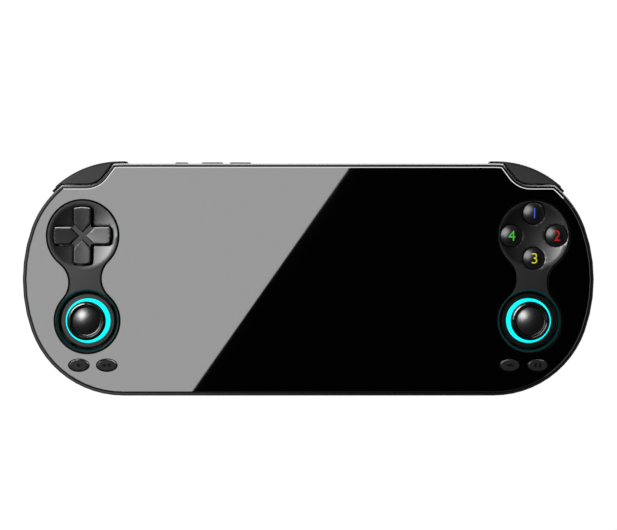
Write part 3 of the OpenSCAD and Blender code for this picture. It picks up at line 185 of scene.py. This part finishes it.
def apply_bevel(piece, width, segments, angle):
    """Rounds the edges of a piece that are sharper than the angle. Sizes in millimetres and degrees."""
    bevel = piece.modifiers.new("rounded", "BEVEL")
    bevel.width = width * MM
    bevel.segments = segments
    bevel.limit_method = "ANGLE"
    bevel.angle_limit = math.radians(angle)
    bpy.ops.object.modifier_apply(modifier=bevel.name)


def dress(piece, finish):
    """Puts a finish on the whole piece."""
    piece.data.materials.clear()
    piece.data.materials.append(finish)


skins = {}


def skin(node, finish, rounded=0.0, segments=2, sharp=30):
    """A merged copy of a CAD node with its edges rounded, which stands for the node."""
    piece = bpy.data.objects.new(node + "_skin", frame["nodes"][node].data.copy())
    scene.collection.objects.link(piece)
    start_edit(piece)
    bpy.ops.mesh.customdata_custom_splitnormals_clear()
    bpy.ops.mesh.remove_doubles(threshold=MERGE)
    bpy.ops.mesh.dissolve_limited(angle_limit=math.radians(0.05))
    bpy.ops.object.mode_set(mode="OBJECT")
    if rounded:
        apply_bevel(piece, rounded, segments, sharp)
    bpy.ops.object.shade_smooth_by_angle(angle=math.radians(sharp))
    flatten = piece.modifiers.new("flat_faces_stay_flat", "WEIGHTED_NORMAL")
    flatten.keep_sharp = True
    bpy.ops.object.modifier_apply(modifier=flatten.name)
    dress(piece, finish)
    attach(piece, body_of[node])
    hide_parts(node)
    skins[node] = piece


def moulded_abs(name, colour, roughness, relief_mm, specular):
    """Black ABS with a moulded grain: how rough it looks, how deep its grain is and how much it shines."""
    finish, tree = new_finish(name)
    place = add_node(tree, "TexCoord")
    grain = add_node(
        tree, "TexNoise", values={"Scale": 1 / (CASE_GRAIN * MM), "Detail": 3},
        links={"Vector": place.outputs["Object"]})
    sheen = add_node(
        tree, "MapRange", values={"To Min": roughness - 0.04, "To Max": roughness + 0.04},
        links={"Value": grain.outputs["Fac"]})
    relief = add_node(
        tree, "Bump", values={"Strength": 0.10, "Distance": relief_mm * MM},
        links={"Height": grain.outputs["Fac"]})
    surface = add_node(
        tree, "BsdfPrincipled", values={"Base Color": linear(colour), "Specular IOR Level": specular},
        links={"Roughness": sheen.outputs["Result"], "Normal": relief.outputs["Normal"]})
    add_node(tree, "OutputMaterial", links={"Surface": surface.outputs["BSDF"]})
    return finish


# The frame round the glass is smooth enough to mirror the lights as blurred lines; the back is dull.
skin("front_shell", moulded_abs("smooth_black_abs", "#121212", 0.22, 0.005, 0.10))
skin("rear_shell", moulded_abs("grained_black_abs", "#1c1c1d", 0.46, 0.03, 0.3))


# Inner works: boards, screen, battery, sockets and leads that the shells close in.
# Each is dressed as its own stuff, with a fine mottling, because they show when the case is opened.
def mottled(name, low, high, grit, roughness, metallic=0.0, specular=0.5):
    """A finish whose colour drifts between two tones in spots of so many millimetres."""
    finish, tree = new_finish(name)
    place = add_node(tree, "TexCoord")
    spots = add_node(
        tree, "TexNoise", values={"Scale": 1 / (grit * MM), "Detail": 4},
        links={"Vector": place.outputs["Object"]})
    tone = add_node(
        tree, "Mix", data_type="RGBA", values={"A": linear(low), "B": linear(high)},
        links={"Factor": spots.outputs["Fac"]})
    gloss = add_node(
        tree, "MapRange", values={"To Min": roughness - 0.06, "To Max": roughness + 0.06},
        links={"Value": spots.outputs["Fac"]})
    surface = add_node(
        tree, "BsdfPrincipled", values={"Metallic": metallic, "Specular IOR Level": specular},
        links={"Base Color": tone.outputs["Result"], "Roughness": gloss.outputs["Result"]})
    add_node(tree, "OutputMaterial", links={"Surface": surface.outputs["BSDF"]})
    return finish


# Glossy green lacquer, bright plated steel, amber film, near-black panel, silvery foil and dull cloth.
solder_mask = mottled("solder_mask_on_glass_epoxy", "#123222", "#1d4a30", 1.2, 0.35)
plated_steel = mottled("plated_sheet_steel", "#a9abaf", "#c4c6ca", 0.4, 0.30, 1.0)
polyimide = mottled("polyimide_film", "#8a4c15", "#a9632a", 3.0, 0.30)
liquid_crystal = mottled("liquid_crystal_panel", "#0d0e12", "#121318", 6.0, 0.2)
pouch_foil = mottled("pouch_foil", "#8d9094", "#a4a7ab", 8.0, 0.38, 0.9)
speaker_cloth = mottled("speaker_cloth", "#0c0c0d", "#232325", 0.3, 0.8)
# Acetal, moulded: a dull black, darkened further as painted shade so that the stick wells stay dark.
acetal = mottled("acetal", "#070708", "#0c0c0d", 1.5, 0.5, specular=0.1)
inner_works = [
    (("main_board", "left_button_board", "right_button_board", "left_shoulder_board",
      "right_shoulder_board", "top_key_board"), solder_mask, "circuit_board"),
    (("screen_tray", "shield_can", "stick_springs", "shoulder_pins", "cross_pivot_ball",
      "shoulder_switches", "top_key_switches", "card_socket"), plated_steel, "steel"),
    (("screen_lead", "left_ribbon", "right_ribbon"), polyimide, "lead_film"),
    (("screen_panel",), liquid_crystal, "screen"),
    (("battery",), pouch_foil, "battery_foil"),
    (("left_speaker", "right_speaker"), speaker_cloth, "socket_plastic"),
    (("left_stick_base", "right_stick_base", "left_stick_yoke", "right_stick_yoke"),
     acetal, "stick_plastic"),
]
for nodes, finish, slot in inner_works:
    for node in nodes:
        dress(frame["nodes"][node], finish)

# Case screws: blackened steel, sunk in wells in the back.
# The drive slots are cut in the solids; the black oxide shows bare steel in fine specks.
blackened_steel = mottled("blackened_steel", "#2b2b2e", "#4a4b50", 0.25, 0.42, 1.0)
skin("case_screws", blackened_steel, rounded=0.08)

# Sockets on the bottom edge: a drawn steel shell for charging and a black moulded headphone jack.
# Both sit on the main board and look out through the bottom wall. Nylon gives a dull black.
black_nylon = mottled("black_nylon", "#101011", "#1a1a1b", 0.6, 0.5)
skin("charging_socket", plated_steel, rounded=0.06)
skin("headphone_jack", black_nylon, rounded=0.08)

# Lit ring of each stick: a clear acrylic light guide, frosted on top, with cyan light diodes below.
# It glows evenly, a little weaker toward its outer edge.
STICK = (72.7, -14.1)
GLOW_FROM, GLOW_TO = 7.1, 7.4


def from_centre(tree, place, centre):
    """How far a point of a left or right piece lies from the centre of its side, seen from the front."""
    axes = add_node(tree, "SeparateXYZ", links={0: place.outputs["Object"]})
    either_side = add_node(tree, "Math", operation="ABSOLUTE", links={0: axes.outputs["X"]})
    across = add_node(tree, "CombineXYZ", links={"X": either_side.outputs[0], "Y": axes.outputs["Y"]})
    return add_node(
        tree, "VectorMath", operation="DISTANCE", values={1: (centre[0] * MM, centre[1] * MM, 0)},
        links={0: across.outputs[0]})


lit_acrylic, tree = new_finish("lit_frosted_acrylic")
radius = from_centre(tree, add_node(tree, "TexCoord"), STICK)
evenness = add_node(
    tree, "MapRange",
    values={"From Min": GLOW_FROM * MM, "From Max": GLOW_TO * MM, "To Min": 1.15, "To Max": 0.85},
    links={"Value": radius.outputs["Value"]})
surface = add_node(
    tree, "BsdfPrincipled", values={
        "Base Color": linear("#0c6c6e"), "Roughness": 0.4, "Emission Color": (0.0, 1.0, 1.0, 1)},
    links={"Emission Strength": evenness.outputs["Result"]})
add_node(tree, "OutputMaterial", links={"Surface": surface.outputs["BSDF"]})
for node in ("left_light_ring", "right_light_ring"):
    skin(node, lit_acrylic)

# Trim ring of each stick: grey ABS, moulded satin, pressed into the well round the lit ring.
# The satin spreads the light to one even grey.
satin_grey_abs = mottled("satin_grey_abs", "#161515", "#1a1919", 0.5, 0.40, specular=0.3)
for node in ("left_trim_ring", "right_trim_ring"):
    skin(node, satin_grey_abs, rounded=0.06)

# Stick stems: black nylon, each moulded in one with the dust dome that closes the well under the cap.
# They tilt in the yokes of the stick modules.
for node in ("left_stick_stem", "right_stick_stem"):
    skin(node, black_nylon)


# Stick caps: a gripping rim of moulded rubber, knurled inside and notched at four points,
# round a polished dome. Turned from one profile; the cap grips the shaft of its stem.
def turned(name, centre, profile, steps):
    """A body turned about a vertical axis. The profile is (radius, height) pairs in millimetres."""
    mesh = bpy.data.meshes.new(name)
    points = [((centre[0] + r) * MM, centre[1] * MM, z * MM) for r, z in profile]
    mesh.from_pydata(points, [(i, i + 1) for i in range(len(points) - 1)], [])
    piece = bpy.data.objects.new(name, mesh)
    scene.collection.objects.link(piece)
    start_edit(piece)
    bpy.ops.mesh.spin(
        steps=steps, angle=2 * math.pi, center=(centre[0] * MM, centre[1] * MM, 0), axis=(0, 0, 1))
    bpy.ops.mesh.select_all(action="SELECT")
    bpy.ops.mesh.remove_doubles(threshold=MERGE)
    bpy.ops.mesh.normals_make_consistent(inside=False)
    bpy.ops.object.mode_set(mode="OBJECT")
    return piece


DOME_R, DOME_TOP, DOME_EDGE, DOME_SEAM = 7.5, 17.0, 4.4, 0.05
cap_profile = [(r, DOME_TOP - DOME_R + math.sqrt(DOME_R ** 2 - r ** 2)) for r in
               [0.0, 0.4, 0.8, 1.2, 1.6, 2.0, 2.4, 2.8, 3.2, 3.6, 3.9, 4.15, DOME_EDGE]]
cap_profile += [
    (4.48, 15.46), (4.56, 15.40), (4.66, 15.42), (4.78, 15.55), (4.95, 15.82), (5.12, 16.04),
    (5.27, 16.15), (5.42, 16.19), (5.60, 16.17), (5.80, 16.08), (6.00, 15.93), (6.20, 15.70),
    (6.34, 15.44), (6.40, 15.22), (6.37, 15.04), (6.24, 14.92), (3.0, 14.9), (3.0, 14.02),
    (1.81, 14.02), (1.81, 15.6), (0.0, 15.64)]
RIDGES, STEPS_PER_RIDGE, RIDGE_SHARE, RIDGE_HEIGHT = 60, 8, 0.45, 0.09
RIM_FROM, RIDGES_TO, RIM_TO, RIM_LOW = 4.7, 5.35, 6.2, 15.3
NOTCH_HALF, NOTCH_FLOOR = 0.36, 15.72
# Moulded rubber shines in thin arcs along the rim; polished ABS gives the dome one soft highlight.
knurled_rubber = mottled("moulded_black_rubber", "#040405", "#070708", 0.4, 0.22, specular=0.2)
polished_abs = mottled("polished_black_abs", "#0e0e0f", "#121213", 8.0, 0.36, specular=0.2)
for side, sign in (("left", -1), ("right", 1)):
    centre = (sign * STICK[0], STICK[1])
    cap = turned(side + "_stick_cap_skin", centre, cap_profile, RIDGES * STEPS_PER_RIDGE)
    for point in cap.data.vertices:
        x, y, z = point.co.x / MM - centre[0], point.co.y / MM - centre[1], point.co.z / MM
        reach = math.hypot(x, y)
        if RIM_FROM < reach < RIM_TO and z > RIM_LOW:
            turn = math.atan2(y, x) / (2 * math.pi) * RIDGES % 1
            if reach < RIDGES_TO and turn > RIDGE_SHARE:
                z -= RIDGE_HEIGHT
            if min(abs(x), abs(y)) < NOTCH_HALF:
                z = min(z, NOTCH_FLOOR)
            point.co.z = z * MM
    dress(cap, knurled_rubber)
    cap.data.materials.append(polished_abs)
    for face in cap.data.polygons:
        reach = math.hypot(face.center.x / MM - centre[0], face.center.y / MM - centre[1])
        if reach < DOME_EDGE + DOME_SEAM:
            face.material_index = 1
    bpy.ops.object.shade_smooth_by_angle(angle=math.radians(35))
    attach(cap, side + "_stick")
    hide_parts(side + "_stick_cap")
    skins[side + "_stick_cap"] = cap

# Control bezels: hourglass inserts of black ABS, moulded with a polished dish for the thumb
# and a matte neck and stick lobe. Each is dropped on a ledge of the front shell.
# The dish gathers the softbox in one bright side; the grain is drawn 0.4 mm wide, so that it shows.
PAD, DISH_R, BEZEL_GRAIN = (74.15, 13.85), 11.42, 0.4
two_tone_abs, tree = new_finish("matte_abs_with_polished_dish")
place = add_node(tree, "TexCoord")
radius = from_centre(tree, place, PAD)
outside = add_node(
    tree, "MapRange", values={"From Min": (DISH_R - 0.06) * MM, "From Max": (DISH_R + 0.02) * MM},
    links={"Value": radius.outputs["Value"]})
grain = add_node(
    tree, "TexNoise", values={"Scale": 1 / (BEZEL_GRAIN * MM), "Detail": 3},
    links={"Vector": place.outputs["Object"]})
tone = add_node(
    tree, "Mix", data_type="RGBA", values={"A": linear("#020202"), "B": linear("#070707")},
    links={"Factor": outside.outputs["Result"]})
dish_gloss = add_node(
    tree, "MapRange", values={"To Min": 0.30, "To Max": 0.33}, links={"Value": grain.outputs["Fac"]})
neck_gloss = add_node(
    tree, "MapRange", values={"To Min": 0.30, "To Max": 0.34}, links={"Value": grain.outputs["Fac"]})
gloss = add_node(
    tree, "Mix", links={
        "Factor": outside.outputs["Result"], "A": dish_gloss.outputs["Result"],
        "B": neck_gloss.outputs["Result"]})
surface = add_node(
    tree, "BsdfPrincipled", values={"IOR": 1.5},
    links={"Base Color": tone.outputs["Result"], "Roughness": gloss.outputs["Result"]})
add_node(tree, "OutputMaterial", links={"Surface": surface.outputs["BSDF"]})
for node in ("left_control_bezel", "right_control_bezel"):
    skin(node, two_tone_abs, rounded=0.14, segments=3)

# Contact rubbers: sheets of moulded silicone on the button boards, with one dome under each key.
# A dome gives way under its key, and each is a piece of its own.
# Silicone is a dull, slightly cloudy grey.
SHEET_TOP, RUBBER_TOP, DOME_STEPS = 4.39, 6.3, 32
DOME_PROFILE = [
    (0.0, 4.3), (2.2, 4.3), (2.2, 4.4), (1.66, 6.1), (1.58, 6.22), (1.44, RUBBER_TOP), (0.0, RUBBER_TOP)]
silicone = mottled("moulded_silicone", "#5f6266", "#75787d", 2.0, 0.55)


def rubber_dome(key, x, y):
    """A silicone dome under a key, turned and fixed to the case."""
    dome = turned(key + "_dome", (x, y), DOME_PROFILE, DOME_STEPS)
    bpy.ops.object.shade_smooth_by_angle(angle=math.radians(30))
    dress(dome, silicone)
    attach(dome, "case")
    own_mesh(dome)


for node in ("cross_key_rubber", "face_key_rubber", "oval_key_rubbers"):
    sheet = bpy.data.objects.new(node + "_sheet", frame["nodes"][node].data.copy())
    scene.collection.objects.link(sheet)
    start_edit(sheet)
    bpy.ops.mesh.customdata_custom_splitnormals_clear()
    bpy.ops.mesh.remove_doubles(threshold=MERGE)
    bpy.ops.mesh.bisect(
        plane_co=(0, 0, SHEET_TOP * MM), plane_no=(0, 0, 1), use_fill=True, clear_outer=True)
    bpy.ops.object.mode_set(mode="OBJECT")
    bpy.ops.object.shade_smooth_by_angle(angle=math.radians(30))
    dress(sheet, silicone)
    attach(sheet, "case")
    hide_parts(node)

# Cross key: one moulding of satin ABS, rocking on a ball under the middle of the left dish.
# Its four feet rest on silicone domes. The satin shades each arm by the way that it slopes.
FOOT_R, FOOT_GIVE = 6.0, 0.5
for arm, joint, across_x, across_y in (
        ("up", "cross_key_up_down", 0, 1), ("down", "cross_key_up_down", 0, -1),
        ("left", "cross_key_left_right", -1, 0), ("right", "cross_key_left_right", 1, 0)):
    rubber_dome(
        "cross_key_" + arm, FOOT_R * across_x - PAD[0], FOOT_R * across_y + PAD[1])
satin_abs = mottled("satin_black_abs", "#080809", "#0c0c0d", 0.5, 0.32)
skin("cross_key", satin_abs, rounded=0.06)

# Front glass: one sheet of black-backed glass, bonded into the frame of the front shell.
# Its bevel is ground, with a steeper arris at the foot. Polished glass mirrors the room,
# and faint smears vary its gloss.
SMEAR = 25
black_glass, tree = new_finish("black_backed_glass")
place = add_node(tree, "TexCoord")
smears = add_node(
    tree, "TexNoise", values={"Scale": 1 / (SMEAR * MM), "Detail": 2},
    links={"Vector": place.outputs["Object"]})
gloss = add_node(
    tree, "MapRange", values={"To Min": 0.010, "To Max": 0.022}, links={"Value": smears.outputs["Fac"]})
tone = add_node(
    tree, "Mix", data_type="RGBA", values={"A": linear("#020202"), "B": linear("#030304")},
    links={"Factor": smears.outputs["Fac"]})
surface = add_node(
    tree, "BsdfPrincipled", values={"IOR": 1.5},
    links={"Base Color": tone.outputs["Result"], "Roughness": gloss.outputs["Result"]})
add_node(tree, "OutputMaterial", links={"Surface": surface.outputs["BSDF"]})
skin("front_glass", black_glass)
glass = skins["front_glass"]


def bevel_edges(piece, chosen, width, segments):
    """Bevels the edges of a piece that a test of their two ends chooses. The width is in millimetres."""
    start_edit(piece)
    bpy.ops.mesh.select_mode(type="EDGE")
    bpy.ops.mesh.select_all(action="DESELECT")
    bpy.ops.object.mode_set(mode="OBJECT")
    for edge in piece.data.edges:
        edge.select = chosen(*[piece.data.vertices[i].co for i in edge.vertices])
    bpy.ops.object.mode_set(mode="EDIT")
    bpy.ops.mesh.bevel(offset=width * MM, segments=segments)
    bpy.ops.object.mode_set(mode="OBJECT")


BEVEL_FOOT, GROUND_FOOT, ARRIS, LEVEL = 13.55, 13.62, 0.22, 0.01
start_edit(glass)
bpy.ops.mesh.customdata_custom_splitnormals_clear()
bpy.ops.object.mode_set(mode="OBJECT")
for point in glass.data.vertices:
    if abs(point.co.z / MM - BEVEL_FOOT) < LEVEL:
        point.co.z = GROUND_FOOT * MM
bevel_edges(
    glass, lambda a, b: max(abs(end.z / MM - GROUND_FOOT) for end in (a, b)) < LEVEL, ARRIS, segments=1)
bpy.ops.object.shade_smooth_by_angle(angle=math.radians(12))

# Face keys: four domes of semi-gloss ABS, each with a printed numeral in its own colour.
# The print is a thin film of ink that follows the dome. The gloss lights one side of each dome.
KEY_DOME_R, KEY_TOP, KEY_PITCH = 5.2009, 15.3, 7.42
INK, NUMERAL_SIZE, NUMERAL_OFFSET, NUMERAL_CUTS = 0.015, 5.0, -0.015, 16
key_abs = mottled("semi_gloss_black_abs", "#0b0b0c", "#0f0f10", 8.0, 0.36)


def printed_numeral(digit, key, x, y, ink):
    """A numeral of thin ink on the dome of a face key."""
    bpy.ops.object.select_all(action="DESELECT")
    bpy.ops.object.text_add()
    label = bpy.context.object
    label.name = key + "_numeral"
    label.data.body = digit
    label.data.size = NUMERAL_SIZE * MM
    label.data.offset = NUMERAL_OFFSET * MM
    label.data.align_x, label.data.align_y = "CENTER", "CENTER"
    label.data.fill_mode = "FRONT"
    bpy.ops.object.convert(target="MESH")
    label = bpy.context.object
    low = [min(p.co[i] for p in label.data.vertices) for i in (0, 1)]
    high = [max(p.co[i] for p in label.data.vertices) for i in (0, 1)]
    start_edit(label)
    for axis in (0, 1):
        for i in range(1, NUMERAL_CUTS):
            cut = [0.0, 0.0, 0.0]
            cut[axis] = low[axis] + (high[axis] - low[axis]) * i / NUMERAL_CUTS
            bpy.ops.mesh.select_all(action="SELECT")
            bpy.ops.mesh.bisect(plane_co=cut, plane_no=(1 - axis, axis, 0))
    bpy.ops.mesh.select_all(action="SELECT")
    bpy.ops.mesh.remove_doubles(threshold=MERGE)
    bpy.ops.object.mode_set(mode="OBJECT")
    for point in label.data.vertices:
        dx = point.co.x / MM - (low[0] + high[0]) / 2 / MM
        dy = point.co.y / MM - (low[1] + high[1]) / 2 / MM
        up = math.sqrt(KEY_DOME_R ** 2 - dx ** 2 - dy ** 2)
        point.co = ((x + dx) * MM, (y + dy) * MM, (KEY_TOP - KEY_DOME_R + up + INK) * MM)
    film = label.modifiers.new("film", "SOLIDIFY")
    film.thickness = 1.5 * INK * MM
    bpy.ops.object.modifier_apply(modifier="film")
    dress(label, ink)
    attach(label, key)
    return label


key_inks = [
    ("face_key_top", "1", 0, 1, mottled("blue_ink", "#3d5fdc", "#4a6ae8", 0.5, 0.4)),
    ("face_key_right", "2", 1, 0, mottled("red_ink", "#c0201c", "#cc2824", 0.5, 0.4)),
    ("face_key_bottom", "3", 0, -1, mottled("yellow_ink", "#e4e23a", "#f0ee46", 0.5, 0.4)),
    ("face_key_left", "4", -1, 0, mottled("green_ink", "#4fd044", "#5cdc50", 0.5, 0.4)),
]
numerals = []
for key, digit, across_x, across_y, ink in key_inks:
    x, y = PAD[0] + KEY_PITCH * across_x, PAD[1] + KEY_PITCH * across_y
    skin(key, key_abs, rounded=0.05)
    numerals.append(printed_numeral(digit, key, x, y, ink))
    rubber_dome(key, x, y)

# Oval keys: small satin ABS keys under the sticks, with plain dots and bars printed in black ink.
# The satin is a dark grey with a bright line along the upper edge; the ink is a flat black.
OVAL_Y, OVAL_TOP, MARK_ROUND = -28.7, 14.3, 0.48
black_ink = mottled("black_ink", "#080808", "#0c0c0c", 0.3, 0.26, specular=0.06)
oval_grey = mottled("satin_dark_abs", "#1e1e1e", "#222222", 0.5, 0.26, specular=0.3)
oval_marks = [
    ("left_outer_oval_key", -75.4, [(0.0, 1.1, 1.1)]),
    ("left_inner_oval_key", -66.2, [(-0.8, 1.0, 1.0), (0.8, 1.0, 1.0)]),
    ("right_inner_oval_key", 66.2, [(0.0, 2.2, 0.6)]),
    ("right_outer_oval_key", 75.4, [(-0.75, 0.6, 1.7), (0.75, 0.6, 1.7)]),
]
for key, x, marks in oval_marks:
    skin(key, oval_grey, rounded=0.12, segments=3)
    rubber_dome(key, x, OVAL_Y)
    for number, (across_x, width, height) in enumerate(marks):
        bpy.ops.object.select_all(action="DESELECT")
        bpy.ops.mesh.primitive_cube_add(size=1)
        mark = bpy.context.object
        mark.name = f"{key}_mark_{number + 1}"
        start_edit(mark)
        bpy.ops.transform.resize(value=(width * MM, height * MM, 2 * INK * MM))
        bpy.ops.transform.translate(value=((x + across_x) * MM, OVAL_Y * MM, OVAL_TOP * MM))
        bpy.ops.object.mode_set(mode="OBJECT")
        bevel_edges(
            mark, lambda a, b: abs(a.z - b.z) > INK * MM, MARK_ROUND * min(width, height), segments=6)
        dress(mark, black_ink)
        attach(mark, key)

# Shoulder keys and triggers: satin ABS, hung on steel pins in the notches of the case.
# The shoulder keys are an even charcoal grey, and the triggers behind them nearly black.
satin_shoulder = mottled("satin_charcoal_abs", "#282828", "#2c2c2c", 0.5, 0.45, specular=0.15)
satin_trigger = mottled("satin_trigger_abs", "#060607", "#0b0b0c", 0.5, 0.45, specular=0.2)
for side in ("left", "right"):
    skin(side + "_shoulder_key", satin_shoulder, rounded=0.12)
    skin(side + "_trigger", satin_trigger, rounded=0.12)

# Top keys: power and volume, small bars of the same ABS as the triggers.
# They slide in openings in the top edge and press on switches behind it.
for node in ("power_key", "volume_down_key", "volume_up_key"):
    skin(node, satin_trigger, rounded=0.12)

# Lights, shared out: the glass and its frame mirror the card. Each half and each stick cap has its own
# softbox, a low wall lights the domes, and the thin strips draw lines along upper edges.
# The left cap and its stem throw no shadow in the left softbox.
caps = [skins["left_stick_cap"], skins["right_stick_cap"]]
face_keys = [skins[n] for n in skins if n.startswith("face_key")]
top_keys = [skins["power_key"], skins["volume_down_key"], skins["volume_up_key"]]
left_half = {skins[n] for n in skins if n.startswith("left_")}
right_half = {skins[n] for n in skins if n.startswith("right_")}
light_rings = [skins["left_light_ring"], skins["right_light_ring"]]
triggers = [skins["left_trigger"], skins["right_trigger"]]
no_softbox = {
    glass, *caps, *face_keys, *numerals, *top_keys, *light_rings, *triggers, skins["right_trim_ring"]}
glass_edged = ("front_glass", "cross_key", "right_outer_oval_key", "right_inner_oval_key")
frame_edged = ("front_shell", "left_outer_oval_key", "left_inner_oval_key")
link_light(card, "INCLUDE", glass, skins["front_shell"])
link_light(left_softbox, "EXCLUDE", *(no_softbox | right_half))
link_light(left_softbox, "EXCLUDE", caps[0], skins["left_stick_stem"], role="blocker")
link_light(right_softbox, "EXCLUDE", *(no_softbox | left_half), skins["cross_key"], skins["front_shell"])
link_light(left_dome_softbox, "INCLUDE", caps[0])
link_light(right_dome_softbox, "INCLUDE", caps[1])
link_light(low_wall, "INCLUDE", *caps, *face_keys)
link_light(glass_strip, "INCLUDE", *[skins[n] for n in glass_edged])
link_light(frame_strip, "INCLUDE", *[skins[n] for n in frame_edged])
link_light(fill, "EXCLUDE", table)
